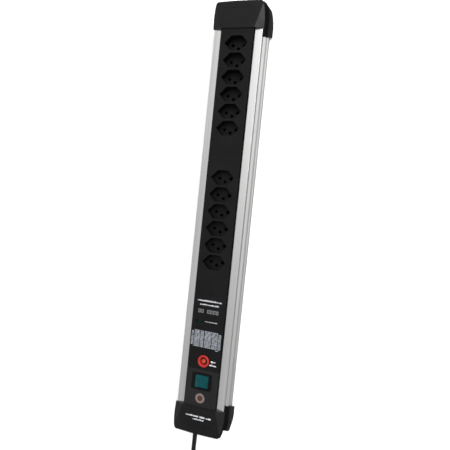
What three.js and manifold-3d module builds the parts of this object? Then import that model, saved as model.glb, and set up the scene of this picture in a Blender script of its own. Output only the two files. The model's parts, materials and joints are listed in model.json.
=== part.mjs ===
// Twelve-way surge-protected power strip with Swiss type 13 outlets, in millimetres.
// It lies on its back: +Z is up out of the socket faces, X runs across the strip, and Y runs
// along it, from the cord's end (-Y) to the far end (+Y). The origin is on the surface that
// the strip rests on, under the middle of the strip with its mounting tabs as drawn.
import * as THREE from 'three';
import { mergeVertices } from 'three/addons/utils/BufferGeometryUtils.js';
import Module from 'manifold-3d';

const wasm = await Module();
wasm.setup();

// ---------------------------------------------------------------- driving dimensions
const gap = 0.3; // between pieces that touch or are cut by each other

const profile = {
  half: 39, // half width over the flat front bands
  slot: 27, // half width of the open front between the bands
  back: 3, // height of the back above the surface it lies on
  face: 45, // height of the front bands
  wall: 2,
  portX: 32.5, // screw ports in the two back corners
  portZ: 9.2,
  portR: 1.7,
};

const panel = { half: 26.4, face: 49.3, base: 34, flange: 35.8, flangeLow: 39.8 };
panel.flangeTop = profile.face - profile.wall - gap;

const socket = {
  pitch: 26,
  half: 19.3, // centre to a side corner of the hexagon
  flat: 8.4, // half length of its flat top and bottom
  high: 11.5, // centre to the flat top
  corner: 1.8, // rounding of its corners
  depth: 13,
  pinX: 9.5,
  earthY: -5,
  holeR: 2.6,
};

// lengths along the strip, from the cord end cap's front edge to the far cap's
const switchPanelLength = 58;
const surgePanelLength = 116.5;
// a fine groove crosses each block after every second outlet
const lowerFoot = 49; // seam to the first outlet of the lower block
const lowerHead = 25; // last outlet of the lower block to the seam
const upperFoot = 50.5;
const upperHead = 22.5;
const outletsPerBlock = 6;
const seam = 0.4;

const cap = {
  half: 41.2,
  endHalf: 37, // half width at the outer end
  straight: 14, // length over which it keeps its full width
  visor: 41, // how far the front runs outwards
  visorLow: 44, // underside of its outer edge
  foot: 45.5, // how far the back runs outwards
  face: 51,
  plateau: 27.5, // half width of the flat middle of the front, at its front edge
  plateauEnd: 38.5, // the same near the outer end, where the sloping corners run out
  rim: 45.6, // height of the sloping corners at the front edge's ends
  round: 3.5, // rounding of the outer corners, seen from the front
  mouth: 12, // how deep the profile sits in the cap
  railIn: 32.3, // inner face of the two rails that it stands on
};
const label = { half: 26, from: 4.5, to: 31, deep: 0.35 }; // shallow field in each cap's front
// each cap's own shape: how far its sides reach past its front edge, at the front and at the
// back, its outer end under the visor, and the inside of that end wall
const farCapForm = {
  front: 11.5,
  back: -1.5,
  end: [[39.8, 40], [44.2, 33], [44.6, 20], [44.6, 0]],
  inside: [[41.5, 5.3], [39, 36], [31, 37.5]],
  room: 30,
};
const cordCapForm = {
  front: 8,
  back: -4.5,
  end: [[29.8, 39.5], [cap.foot, 2], [cap.foot, 0]],
  inside: [[41.5, 5.3], [29, 35], [26, 37.5]],
  room: 26,
};

const tab = { half: 8.5, reach: 31.5, low: 1.2, thick: 1.5, holeR: 3.25, holeAt: 22, pivotU: 30 };
const rivet = { shankR: 2.5, headR: 5, headLow: 0.2 };

const cord = { r: 3.5, x: -11, z: 27 };
const coil = { columns: 3, layers: 4, outer: 44.6, base: 1 }; // outer is its last turn's radius

// ---------------------------------------------------------------- places along the strip
const span = switchPanelLength + surgePanelLength + lowerFoot + lowerHead + upperFoot + upperHead
  + 2 * (outletsPerBlock - 1) * socket.pitch;
const farReach = tab.pivotU + tab.reach; // the far tab is swung out
const cordCapY = -(span + farReach + cap.foot) / 2 + cap.foot;
const farCapY = cordCapY + span;
const seamSwitch = cordCapY + switchPanelLength;
const seamSurge = seamSwitch + surgePanelLength;
const lowerFirst = seamSurge + lowerFoot;
const seamBlocks = lowerFirst + (outletsPerBlock - 1) * socket.pitch + lowerHead;
const upperFirst = seamBlocks + upperFoot;
const profileStart = cordCapY - cap.mouth;
const profileEnd = farCapY + cap.mouth;
const rockerY = cordCapY + 40;
const breakerY = cordCapY + 71.5;
const lampY = cordCapY + 130.5;
const sealY = cordCapY + 14;
const busLead = 46; // how far the bus bars start before the first outlet

// ---------------------------------------------------------------- materials
function material(color, roughness, metalness = 0) {
  return new THREE.MeshStandardMaterial({ color, roughness, metalness });
}
const anodised = () => material(0xc9cacb, 0.42, 0.9);
const blackMoulding = () => material(0x2b2b2d, 0.55);
const blackRubber = () => material(0x1c1c1e, 0.7);
const whiteMoulding = () => material(0xdcdad2, 0.6);
const zincSteel = () => material(0xa9abae, 0.4, 0.9);
const brass = () => material(0xb9964b, 0.35, 0.9);

// ---------------------------------------------------------------- solids
function solid(geometry) {
  const bare = geometry.clone();
  bare.deleteAttribute('normal');
  bare.deleteAttribute('uv');
  const merged = mergeVertices(bare, 1e-4);
  const corners = merged.index.array;
  const triangles = [];
  for (let i = 0; i < corners.length; i += 3) {
    const [a, b, c] = corners.slice(i, i + 3);
    if (a !== b && b !== c && c !== a) triangles.push(a, b, c);
  }
  const body = new wasm.Mesh({
    numProp: 3,
    vertProperties: new Float32Array(merged.attributes.position.array),
    triVerts: new Uint32Array(triangles),
  });
  return new wasm.Manifold(body);
}

function geometryOf(body) {
  const { vertProperties, triVerts } = body.getMesh();
  const geometry = new THREE.BufferGeometry();
  geometry.setAttribute('position', new THREE.BufferAttribute(vertProperties, 3));
  geometry.setIndex(new THREE.BufferAttribute(triVerts, 1));
  geometry.computeVertexNormals();
  return geometry;
}

const join = (...bodies) => bodies.reduce((a, b) => a.add(b));
const cut = (body, ...tools) => tools.reduce((a, b) => a.subtract(b), body);
const meet = (...bodies) => bodies.reduce((a, b) => a.intersect(b));

function outline(points) {
  return new THREE.Shape(points.map(([a, b]) => new THREE.Vector2(a, b)));
}

function extruded(shape, depth, curveSegments = 8) {
  return new THREE.ExtrudeGeometry(shape, { depth, bevelEnabled: false, curveSegments });
}

// an outline in X and Z, extruded along Y
function alongY(shape, from, to) {
  const low = Math.min(from, to);
  const high = Math.max(from, to);
  const geometry = extruded(shape, high - low);
  geometry.rotateX(Math.PI / 2);
  geometry.translate(0, high, 0);
  return geometry;
}

// an outline in Y and Z, extruded along X
function alongX(shape, from, to) {
  const geometry = extruded(shape, to - from);
  const turn = new THREE.Matrix4().makeBasis(
    new THREE.Vector3(0, 1, 0),
    new THREE.Vector3(0, 0, 1),
    new THREE.Vector3(1, 0, 0),
  );
  geometry.applyMatrix4(turn);
  geometry.translate(from, 0, 0);
  return geometry;
}

// an outline in X and Y, extruded along Z
function alongZ(shape, from, to, curveSegments = 8) {
  const geometry = extruded(shape, to - from, curveSegments);
  geometry.translate(0, 0, from);
  return geometry;
}

function box(x0, x1, y0, y1, z0, z1) {
  const geometry = new THREE.BoxGeometry(x1 - x0, Math.abs(y1 - y0), z1 - z0);
  geometry.translate((x0 + x1) / 2, (y0 + y1) / 2, (z0 + z1) / 2);
  return geometry;
}

function post(x, y, r, z0, z1, sides = 24, rTop = r) {
  const geometry = new THREE.CylinderGeometry(rTop, r, z1 - z0, sides);
  geometry.rotateX(Math.PI / 2);
  geometry.translate(x, y, (z0 + z1) / 2);
  return geometry;
}

function rodAlongY(x, z, r, from, to, sides = 16) {
  const geometry = new THREE.CylinderGeometry(r, r, Math.abs(to - from), sides);
  geometry.translate(x, (from + to) / 2, z);
  return geometry;
}

function rodAlongX(y, z, r, from, to, sides = 16) {
  const geometry = new THREE.CylinderGeometry(r, r, to - from, sides);
  geometry.rotateZ(Math.PI / 2);
  geometry.translate((from + to) / 2, y, z);
  return geometry;
}

function lathe(points, sides = 24) {
  const geometry = new THREE.LatheGeometry(points.map(([r, h]) => new THREE.Vector2(r, h)), sides);
  geometry.rotateX(Math.PI / 2);
  return geometry;
}

// a closed tube of revolution about a line along Y: points are radius and distance along dir
function turnedAlongY(points, x, y, z, dir, sides = 24) {
  const geometry = new THREE.LatheGeometry(
    points.map(([r, u]) => new THREE.Vector2(r, u)),
    sides,
  );
  if (dir < 0) geometry.rotateX(Math.PI);
  geometry.translate(x, y, z);
  return geometry;
}

// a closed outline through these corners, each of them rounded
function roundedPolygon(corners, radius) {
  const shape = new THREE.Shape();
  corners.forEach((corner, i) => {
    const here = new THREE.Vector2(...corner);
    const before = new THREE.Vector2(...corners[(i + corners.length - 1) % corners.length]);
    const after = new THREE.Vector2(...corners[(i + 1) % corners.length]);
    const start = before.sub(here).setLength(radius).add(here);
    const end = after.sub(here).setLength(radius).add(here);
    if (i === 0) shape.moveTo(start.x, start.y);
    else shape.lineTo(start.x, start.y);
    shape.quadraticCurveTo(here.x, here.y, end.x, end.y);
  });
  shape.closePath();
  return shape;
}

function rectangle(cx, cy, width, height) {
  const a = width / 2;
  const b = height / 2;
  return [[cx - a, cy - b], [cx + a, cy - b], [cx + a, cy + b], [cx - a, cy + b]];
}

function tube(points, r, steps, sides = 8) {
  const path = new THREE.CatmullRomCurve3(points.map((p) => new THREE.Vector3(...p)));
  const section = new THREE.Shape();
  for (let i = 0; i < sides; i += 1) {
    const turn = (2 * Math.PI * i) / sides;
    if (i === 0) section.moveTo(r, 0);
    else section.lineTo(r * Math.cos(turn), r * Math.sin(turn));
  }
  section.closePath();
  return new THREE.ExtrudeGeometry(section, { steps, extrudePath: path, curveSegments: 1 });
}

// ---------------------------------------------------------------- the strip
const strip = new THREE.Group();

function place(name, shape, finish) {
  const body = shape.isBufferGeometry ? solid(shape) : shape;
  const mesh = new THREE.Mesh(geometryOf(body), finish);
  mesh.name = name;
  strip.add(mesh);
}

const mirrored = (points) => points.map(([x, z]) => [-x, z]).reverse();

// separate copies of one piece, numbered from 1
function placeEach(name, shapes, makeFinish) {
  shapes.forEach((shape, i) => place(`${name}_${i + 1}`, shape, makeFinish()));
}

// The aluminium extrusion: flat front bands, a twice-stepped flank, ledges for the panels and
// two screw ports in the back corners.
function makeHousing() {
  const inner = profile.half - profile.wall - 0.9;
  const { slot, back, face, wall, portX, portZ, portR } = profile;
  const flank = [
    [profile.half, face],
    [38, 35.5],
    [39.1, 25.5],
    [38.3, 24.5],
    [38, 15.5],
    [39, 11.5],
    [38.5, 10.5],
    [37.8, back],
  ];
  const ledge = panel.flangeLow - gap;
  const cavity = [
    [27.5, back + wall],
    [27.5, 14],
    [inner, 14],
    [inner, ledge - 1.6],
    [33, ledge - 1.6],
    [33, ledge],
    [inner, ledge],
    [inner, face - wall],
  ];
  const from = profileStart;
  const to = profileEnd;
  const body = cut(
    solid(alongY(outline([...mirrored(flank), ...flank]), from, to)),
    solid(alongY(outline([...mirrored(cavity), ...cavity]), from - 1, to + 1)),
    solid(box(-slot, slot, from - 1, to + 1, face - wall - 1, face + 1)),
    ...[-portX, portX].map((x) => solid(rodAlongY(x, portZ, portR, from - 1, to + 1))),
  );
  place('housing_profile', body, anodised());
}

// Every panel that closes the front has this section: it slides in under the front bands.
function panelBody(from, to) {
  const { half, face, flange, flangeLow, flangeTop, base } = panel;
  const right = [
    [half, face],
    [half, flangeTop],
    [flange, flangeTop],
    [flange, flangeLow],
    [31.8, flangeLow],
    [31.8, base],
  ];
  return solid(alongY(outline([...mirrored(right), ...right]), from, to));
}

function socketOutline(y) {
  const { half, flat, high } = socket;
  const corners = [[half, 0], [flat, high], [-flat, high], [-half, 0], [-flat, -high], [flat, -high]];
  return roundedPolygon(corners.map(([a, b]) => [a, b + y]), socket.corner);
}

function pinPlaces(y) {
  return [[-socket.pinX, y], [socket.pinX, y], [0, y + socket.earthY]];
}

function makeSocketBlock(name, from, to, firstY) {
  const floor = panel.face - socket.depth;
  let body = panelBody(from, to);
  for (let i = 0; i < outletsPerBlock; i += 1) {
    const y = firstY + i * socket.pitch;
    body = body.subtract(solid(alongZ(socketOutline(y), floor, panel.face + 1, 3)));
    for (const [x, holeY] of pinPlaces(y)) {
      body = body.subtract(solid(post(x, holeY, socket.holeR, panel.base - 1, floor + 1, 20)));
    }
    if (i === 2 || i === 4) {
      const between = y - socket.pitch / 2;
      body = body.subtract(solid(box(
        -panel.half - 1, panel.half + 1, between - 0.25, between + 0.25, panel.face - 0.5, panel.face + 1)));
    }
  }
  place(name, body, blackMoulding());
}

// room under a panel section, inside its side walls and below the flange that carries it
function hollowUnder(from, to) {
  const inside = panel.half - 2;
  return solid(box(-inside, inside, from, to, panel.base - 1, panel.face - 2.5))
    .add(solid(box(-29, 29, from, to, panel.base - 1, panel.flangeLow)));
}

function makePanels() {
  makeSocketBlock('socket_block_upper', seamBlocks + seam / 2, profileEnd - 1, upperFirst);
  makeSocketBlock('socket_block_lower', seamSurge + seam / 2, seamBlocks - seam / 2, lowerFirst);

  const surgeFrom = seamSwitch + seam / 2;
  const surgeTo = seamSurge - seam / 2;
  const surge = cut(
    panelBody(surgeFrom, surgeTo),
    hollowUnder(surgeFrom + 2, surgeTo - 2),
    solid(post(0, breakerY, 7.3, panel.base, panel.face + 1)),
    solid(box(-21, -7, lampY - 2.5, lampY + 2.5, panel.base, panel.face + 1)),
  );
  place('surge_panel', surge, blackMoulding());

  const switchFrom = profileStart + 1;
  const switchTo = seamSwitch - seam / 2;
  const withSwitch = cut(
    panelBody(switchFrom, switchTo),
    hollowUnder(switchFrom + 2, switchTo - 2),
    solid(box(-14.6, 14.6, rockerY - 11.4, rockerY + 11.4, panel.base, panel.face + 1)),
  );
  place('switch_panel', withSwitch, blackMoulding());
}

// ---------------------------------------------------------------- end caps
// u runs outwards from a cap's front edge; dir is +1 at the far end and -1 at the cord's end.
function capSection() {
  const { half, face } = cap;
  const right = [
    [half, 0],
    [half, 9],
    [half - 0.7, 12],
    [half, 16],
    [half, 19],
    [half - 0.8, 23],
    [half - 0.8, 32],
    [half - 0.3, 36],
    [half - 1.1, 41.8],
    [half - 1.1, 42.8],
    [half, cap.visorLow + 0.4],
    [half, face],
  ];
  return outline([...right, ...mirrored(right)]);
}

function capPlan(y, form) {
  const shape = new THREE.Shape();
  const { half, endHalf, straight, visor, round } = cap;
  const end = form.end[form.end.length - 1][0];
  const lead = form.front + 1;
  shape.moveTo(half, y(-lead));
  shape.lineTo(half, y(straight));
  shape.quadraticCurveTo(half - 0.4, y(visor - 12), endHalf, y(visor));
  shape.lineTo(endHalf - 0.2, y(end - round));
  shape.quadraticCurveTo(endHalf - 0.3, y(end), endHalf - round, y(end));
  shape.lineTo(round - endHalf, y(end));
  shape.quadraticCurveTo(0.3 - endHalf, y(end), 0.2 - endHalf, y(end - round));
  shape.lineTo(-endHalf, y(visor));
  shape.quadraticCurveTo(0.4 - half, y(visor - 12), -half, y(straight));
  shape.lineTo(-half, y(-lead));
  shape.closePath();
  return shape;
}

// the visor's outer edge bulges a little between two rounded corners
function visorPlan(y) {
  const { half, endHalf, visor, round } = cap;
  const shape = new THREE.Shape();
  shape.moveTo(half + 2, y(visor - 20));
  shape.lineTo(endHalf + 0.6, y(visor - round));
  shape.quadraticCurveTo(endHalf - 0.2, y(visor - 0.9), endHalf - round, y(visor - 0.6));
  shape.quadraticCurveTo(0, y(visor + 0.6), round - endHalf, y(visor - 0.6));
  shape.quadraticCurveTo(0.2 - endHalf, y(visor - 0.9), -endHalf - 0.6, y(visor - round));
  shape.lineTo(-half - 2, y(visor - 20));
  shape.closePath();
  return shape;
}

function capSide(y, form) {
  return outline([
    [y(0), cap.face + 1],
    [y(cap.visor), cap.face + 1],
    [y(cap.visor), cap.visorLow],
    ...form.end.map(([u, z]) => [y(u), z]),
    [y(-form.back), 0],
    [y(-form.front), 41.5],
    [y(0), 41.5],
  ]);
}

// the sloping corner of the front on one side: side is +1 for +X and -1 for -X
function slopeCorner(body, y, side) {
  const a = new THREE.Vector3(side * cap.plateau, y(0), cap.face);
  const b = new THREE.Vector3(side * cap.plateauEnd, y(cap.visor - 4), cap.face);
  const c = new THREE.Vector3(side * cap.half, y(0), cap.rim);
  const normal = b.sub(a).cross(c.sub(a)).normalize();
  if (normal.z > 0) normal.negate();
  return body.trimByPlane([normal.x, normal.y, normal.z], normal.dot(a));
}

function makeCap(name, edge, dir, form, ...extraCuts) {
  const y = (u) => edge + dir * u;
  const deep = cap.mouth + gap;
  const boss = 29;
  const front = form.front + 2;
  const top = cap.face + 1;
  const cavity = outline([
    [y(deep - 1), 5.3],
    ...form.inside.map(([u, z]) => [y(u), z]),
    [y(form.inside[form.inside.length - 1][0]), 46.4],
    [y(deep - 1), 46.4],
  ]);
  const beyondVisor = cut(
    solid(box(-cap.half - 1, cap.half + 1, y(cap.visor - 10), y(cap.foot + 2), cap.visorLow, top + 1)),
    solid(alongZ(visorPlan(y), cap.visorLow - 1, top + 2, 10)),
  );
  let body = meet(
    solid(alongY(capSection(), y(-front), y(cap.foot + 1))),
    solid(alongZ(capPlan(y, form), -1, top, 6)),
    solid(alongX(capSide(y, form), -cap.half - 1, cap.half + 1)),
  );
  body = slopeCorner(slopeCorner(cut(body, beyondVisor), y, 1), y, -1);
  body = cut(
    body,
    solid(box(-39.5, 39.5, y(-front), y(deep), profile.back - gap, profile.face + gap)),
    solid(box(-panel.half - gap, panel.half + gap, y(-1), y(deep), profile.back, panel.face + gap)),
    solid(box(-34, 34, y(deep - 1), y(form.room), 5.3, 45)),
    solid(alongX(cavity, -boss, boss)),
    solid(box(-cap.railIn, cap.railIn, y(-front), y(cap.foot + 2), -1, profile.back)),
    solid(box(-label.half, label.half, y(label.from), y(label.to), cap.face - label.deep, top)),
    solid(post(0, y(tab.pivotU), rivet.shankR + gap, 0, 8)),
    ...extraCuts,
  );
  for (const side of [-1, 1]) {
    body = cut(
      body,
      solid(rodAlongY(side * profile.portX, profile.portZ, 1.8, y(form.room - 2), y(48))),
      solid(rodAlongY(side * profile.portX, profile.portZ, 3.5, y(38), y(48))),
    );
  }
  place(name, body, blackMoulding());
}

function makeCapScrews(name, edge, dir) {
  const y = (u) => edge + dir * u;
  const screws = [-1, 1].map((side) => join(
    solid(rodAlongY(side * profile.portX, profile.portZ, 1.4, y(3), y(38.6), 12)),
    cut(
      solid(rodAlongY(side * profile.portX, profile.portZ, 3.1, y(38.4), y(40.8))),
      solid(box(side * profile.portX - 2.2, side * profile.portX + 2.2, y(40), y(42), 8.8, 9.6)),
    ),
  ));
  placeEach(name, screws, zincSteel);
}

// The mounting tab turns under the cap on its rivet; dir is where it points as drawn.
function makeTab(name, pivotY, dir) {
  const shape = new THREE.Shape();
  const { half, reach } = tab;
  const straight = dir * (reach - half);
  shape.moveTo(-half, pivotY);
  shape.lineTo(-half, pivotY + straight);
  shape.absarc(0, pivotY + straight, half, Math.PI, 0, dir > 0);
  shape.lineTo(half, pivotY);
  shape.absarc(0, pivotY, half, 0, Math.PI, dir > 0);
  shape.closePath();
  const high = tab.low + tab.thick;
  const body = cut(
    solid(alongZ(shape, tab.low, high, 10)),
    solid(post(0, pivotY, rivet.shankR + 0.08, 0, high + 1)),
    solid(post(0, pivotY + dir * tab.holeAt, tab.holeR, 0, high + 1)),
  );
  place(name, body, zincSteel());
}

function makeRivet(name, pivotY) {
  const { shankR, headR, headLow } = rivet;
  const points = [
    [0, headLow],
    [headR - 0.6, headLow],
    [headR, headLow + 0.7],
    [shankR, headLow + 0.7],
    [shankR, 5.3],
    [headR, 5.3],
    [headR - 1, 6.5],
    [0, 6.5],
  ];
  const geometry = lathe(points);
  geometry.translate(0, pivotY, 0);
  place(name, geometry, zincSteel());
}

function makeEnds() {
  const farPivot = farCapY + tab.pivotU;
  const cordPivot = cordCapY - tab.pivotU;
  makeCap('far_end_cap', farCapY, 1, farCapForm);
  const cordHole = solid(rodAlongY(cord.x, cord.z, 6.4, cordCapY - 27, cordCapY - 48, 24));
  makeCap('cord_end_cap', cordCapY, -1, cordCapForm, cordHole);
  makeCapScrews('far_cap_screw', farCapY, 1);
  makeCapScrews('cord_cap_screw', cordCapY, -1);
  makeTab('far_mounting_tab', farPivot, 1);
  makeTab('cord_mounting_tab', cordPivot, 1);
  makeRivet('far_tab_rivet', farPivot);
  makeRivet('cord_tab_rivet', cordPivot);
}

// ---------------------------------------------------------------- contacts and bus bars
function outletYs() {
  const ys = [];
  for (const first of [lowerFirst, upperFirst]) {
    for (let i = 0; i < outletsPerBlock; i += 1) ys.push(first + i * socket.pitch);
  }
  return ys;
}

// One stamped strip with a two-leaf spring contact under each outlet's hole.
function makeBusBar(name, x, offsetY) {
  const leaf = 2.3;
  const thick = 0.8;
  const low = 21.5;
  const ys = outletYs();
  const from = ys[0] - busLead;
  const to = ys[ys.length - 1] + 8;
  let body = solid(box(x - leaf - thick, x - leaf, from, to, low, low + 6));
  for (const outletY of ys) {
    const y = outletY + offsetY;
    body = join(
      body,
      solid(box(x - leaf - thick, x + leaf + thick, y - 2.5, y + 2.5, low, low + thick)),
      solid(box(x - leaf - thick, x - leaf, y - 2.5, y + 2.5, low + thick / 2, 32.5)),
      solid(box(x + leaf, x + leaf + thick, y - 2.5, y + 2.5, low + thick / 2, 32.5)),
    );
  }
  place(name, body, brass());
}

// An insulating tray under each outlet block keeps the three bars apart.
function makeContactTray(name, from, to) {
  const low = 19;
  const ribs = [-16, -5.2, 4.1, 14.6].map((x) => solid(box(x, x + 1.2, from, to, low, 33.6)));
  place(name, join(solid(box(-20, 20, from, to, low, 21)), ...ribs), whiteMoulding());
}

function makeContacts() {
  makeBusBar('line_bus_bar', -socket.pinX, 0);
  makeBusBar('neutral_bus_bar', socket.pinX, 0);
  makeBusBar('earth_bus_bar', 0, socket.earthY);
  makeContactTray('contact_tray_lower', seamSurge + 6, seamBlocks - 3);
  makeContactTray('contact_tray_upper', seamBlocks + 3, profileEnd - 8);
  const liner = box(-27, 27, profileStart + 2, profileEnd - 2, 5.3, 6.1);
  place('insulating_liner', liner, whiteMoulding());
}

// ---------------------------------------------------------------- rocker switch
const rocker = { halfX: 10.4, halfY: 9.5, pivotZ: 45.6, tilt: THREE.MathUtils.degToRad(7) };

function makeRocker() {
  const top = panel.face + 1.7;
  const bezel = cut(
    solid(alongZ(roundedPolygon(rectangle(0, rockerY, 32, 25.6), 2), panel.face + gap, top, 3)),
    solid(box(-11.3, 11.3, rockerY - 10.1, rockerY + 10.1, panel.face - 1, top + 1)),
  );
  place('rocker_bezel', bezel, material(0x17181a, 0.3));

  const body = cut(
    solid(box(-14.2, 14.2, rockerY - 11, rockerY + 11, 27, panel.face)),
    solid(box(-11.8, 11.8, rockerY - 10.2, rockerY + 10.2, 38, panel.face + 1)),
    solid(rodAlongY(0, rocker.pivotZ, 1.5 + gap, rockerY - 12, rockerY + 12)),
  );
  place('rocker_switch_body', body, blackMoulding());

  const shape = new THREE.Shape();
  const { halfX, pivotZ } = rocker;
  shape.moveTo(-halfX, pivotZ + 1);
  shape.lineTo(-halfX, pivotZ + 5.8);
  shape.quadraticCurveTo(0, pivotZ + 3.4, halfX, pivotZ + 5.8);
  shape.lineTo(halfX, pivotZ + 1);
  shape.lineTo(4, pivotZ - 3);
  shape.lineTo(-4, pivotZ - 3);
  shape.closePath();
  const button = cut(
    solid(alongY(shape, rockerY - rocker.halfY, rockerY + rocker.halfY)),
    solid(rodAlongY(0, pivotZ, 1.55, rockerY - 12, rockerY + 12)),
  );
  const geometry = geometryOf(button);
  geometry.translate(0, 0, -pivotZ);
  geometry.rotateY(rocker.tilt);
  geometry.translate(0, 0, pivotZ);
  place('rocker_button', geometry, material(0x0f6a68, 0.3));

  const pin = rodAlongY(0, pivotZ, 1.45, rockerY - 10.8, rockerY + 10.8, 16);
  place('rocker_pivot_pin', pin, zincSteel());

  const blades = [-9, 9].flatMap((x) => [-5, 5].map((dy) => (
    box(x - 0.4, x + 0.4, rockerY + dy - 2.4, rockerY + dy + 2.4, 17, 26.7))));
  placeEach('switch_terminal', blades, brass);
}

// ---------------------------------------------------------------- overload breaker and surge stage
function makeBreaker() {
  const face = panel.face;
  const collar = lathe([
    [7.3, face + gap],
    [9.3, face + gap],
    [9.3, face + 1.6],
    [8.6, face + 2.6],
    [6.6, face + 2.6],
    [5.2, face - 1.2],
    [5.2, face - 2.4],
    [6.9, face - 2.4],
    [6.9, face + gap],
    [7.3, face + gap],
  ], 32);
  collar.translate(0, breakerY, 0);
  place('breaker_collar', collar, material(0xb02020, 0.4));

  const body = cut(
    solid(post(0, breakerY, 6.9, 30, face - 2.7, 24)),
    solid(post(0, breakerY, 4, 36, face, 24)),
  );
  place('breaker_body', body, blackMoulding());

  const button = lathe([
    [0, 40],
    [3.6, 40],
    [3.6, face + 0.6],
    [3.2, face + 1.5],
    [1.8, face + 2.2],
    [0, face + 2.4],
  ], 24);
  button.translate(0, breakerY, 0);
  place('breaker_button', button, material(0xc8543c, 0.45));
}

function makeSurgeStage() {
  const boardFrom = lampY - 30;
  const boardTo = lampY + 36;
  place('surge_board', box(-22, 22, boardFrom, boardTo, 24, 25.6), material(0x2c5b3a, 0.6));
  place('line_varistor', rodAlongX(lampY + 18, 33, 7, -14, -9, 20), material(0x2a4f8c, 0.5));
  place('earth_varistor', rodAlongX(lampY + 18, 33, 7, 4, 9, 20), material(0x2a4f8c, 0.5));
  place('suppression_capacitor', box(-12, 12, lampY - 27, lampY - 10, 26, 41), material(0xc9b23a, 0.5));
  place('thermal_fuse', rodAlongY(15, 29, 2, lampY - 6, lampY + 8, 12), whiteMoulding());
  place('discharge_tube', rodAlongX(lampY + 31, 30.5, 3.5, -8, 0, 16), material(0xd8d4cc, 0.4));
  const lens = join(
    solid(box(-20.7, -7.3, lampY - 2.2, lampY + 2.2, panel.face - 2.3, panel.face + 0.2)),
    solid(box(-22.5, -5.5, lampY - 4, lampY + 4, panel.face - 4.6, panel.face - 2.8)),
    solid(box(-20.7, -7.3, lampY - 2.2, lampY + 2.2, panel.face - 3, panel.face - 2)),
  );
  place('indicator_lens', lens, material(0x123a24, 0.2));
  const lamp = join(
    solid(post(-14, lampY, 2.4, 26, 40, 16)),
    solid(post(-14, lampY, 3, 26, 27.2, 16)),
  );
  place('indicator_lamp', lamp, material(0x3aa05a, 0.3));
}

function makeSeal() {
  const seal = post(0, sealY, 7.5, panel.face + gap, panel.face + 0.6, 40);
  place('inspection_seal', seal, material(0xc9b6a6, 0.5));
}

// ---------------------------------------------------------------- cord entry and internal leads
function makeCordEntry() {
  const points = [
    [cord.r + gap, 0],
    [7.4, 0],
    [7.4, 3.4],
    [6, 3.4],
    [6, 13.5],
    [4.5, 24],
    [cord.r + gap, 24],
    [cord.r + gap, 0],
  ];
  const entryY = cordCapY - 24.5;
  place('strain_relief', turnedAlongY(points, cord.x, entryY, cord.z, -1), blackRubber());

  const clampFrom = cordCapY - 23;
  const clampTo = cordCapY - 15;
  const clamp = cut(
    solid(box(cord.x - 12, cord.x + 12, clampFrom, clampTo, 20.6, 33.4)),
    solid(rodAlongY(cord.x, cord.z, cord.r + gap, clampFrom - 1, clampTo + 1)),
    ...[-8.5, 8.5].map((dx) => solid(post(cord.x + dx, cordCapY - 19, 1.9, 20, 34, 12))),
  );
  place('cord_clamp', clamp, blackMoulding());
  const clampScrews = [-8.5, 8.5].map((dx) => join(
    solid(post(cord.x + dx, cordCapY - 19, 1.5, 14, 33.9, 12)),
    solid(post(cord.x + dx, cordCapY - 19, 2.9, 33.7, 35.6, 16)),
  ));
  placeEach('clamp_screw', clampScrews, zincSteel);

  const sheathEnd = cordCapY - 13.6;
  const busStart = lowerFirst - busLead;
  const leads = [
    ['line_lead', -13.2, -11.5, 0x6b4326],
    ['neutral_lead', -8.8, 7.5, 0x2c56a0],
    ['earth_lead', -11, -2, 0x7f9a34],
  ];
  for (const [name, fromX, toX, colour] of leads) {
    const route = [
      [fromX, sheathEnd, 27],
      [fromX, sheathEnd + 14, 22],
      [toX, sheathEnd + 34, 12],
      [toX, rockerY + 20, 12],
      [toX, (rockerY + busStart) / 2, 12],
      [toX, busStart - 16, 14],
      [toX, busStart - 1, 22],
    ];
    place(name, tube(route, 0.9, 24, 6), material(colour, 0.6));
  }
}

// ---------------------------------------------------------------- mains cord, coil and plug
const coilX = cord.x + coil.outer;
const coilY = cordCapY - 152;
const coilR = coil.outer + cord.r;
const coilIn = coilR - coil.columns * 2 * cord.r;
const coilHigh = coil.base + coil.layers * 2 * cord.r;
const tailZ = coilHigh - cord.r;
const plug = { y: coilY - 62, z: 10, relief: 24, body: 36, pins: 19 };

// From the clamp in the cap, straight out, and down to the surface in an S.
function makeCord() {
  const land = cord.r;
  const route = [
    [cord.x, cordCapY - 15.2, cord.z],
    [cord.x, cordCapY - 30, cord.z],
    [cord.x, cordCapY - 45, cord.z],
    [cord.x, cordCapY - 58, cord.z],
    [cord.x, cordCapY - 66, cord.z - 0.3],
    [cord.x, cordCapY - 75, cord.z - 2.4],
    [cord.x, cordCapY - 84, cord.z - 7],
    [cord.x, cordCapY - 92, land + 11.7],
    [cord.x, cordCapY - 100, land + 6.3],
    [cord.x, cordCapY - 109, land + 2.1],
    [cord.x, cordCapY - 117, land + 0.3],
    [cord.x, coilY + 27, land],
  ];
  place('mains_cord', tube(route, cord.r, 50, 8), blackRubber());

  const ring = lathe([
    [coilIn, coil.base],
    [coilR, coil.base],
    [coilR, coilHigh],
    [coilIn, coilHigh],
    [coilIn, coil.base],
  ], 40);
  ring.translate(coilX, coilY, 0);
  place('cord_coil', ring, blackRubber());

  const tieHalf = 6;
  const tieThick = 0.6;
  const tieX0 = coilX + Math.sqrt(coilIn ** 2 - tieHalf ** 2) - gap - 0.1;
  const tieX1 = coilX + coilR + gap;
  const tieTop = coilHigh + gap;
  const tie = cut(
    solid(box(tieX0 - tieThick, tieX1 + tieThick, coilY - tieHalf, coilY + tieHalf, 0.1, tieTop + tieThick)),
    solid(box(tieX0, tieX1, coilY - 2 * tieHalf, coilY + 2 * tieHalf, coil.base - gap, tieTop)),
  );
  place('cord_tie', tie, blackRubber());
}

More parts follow.
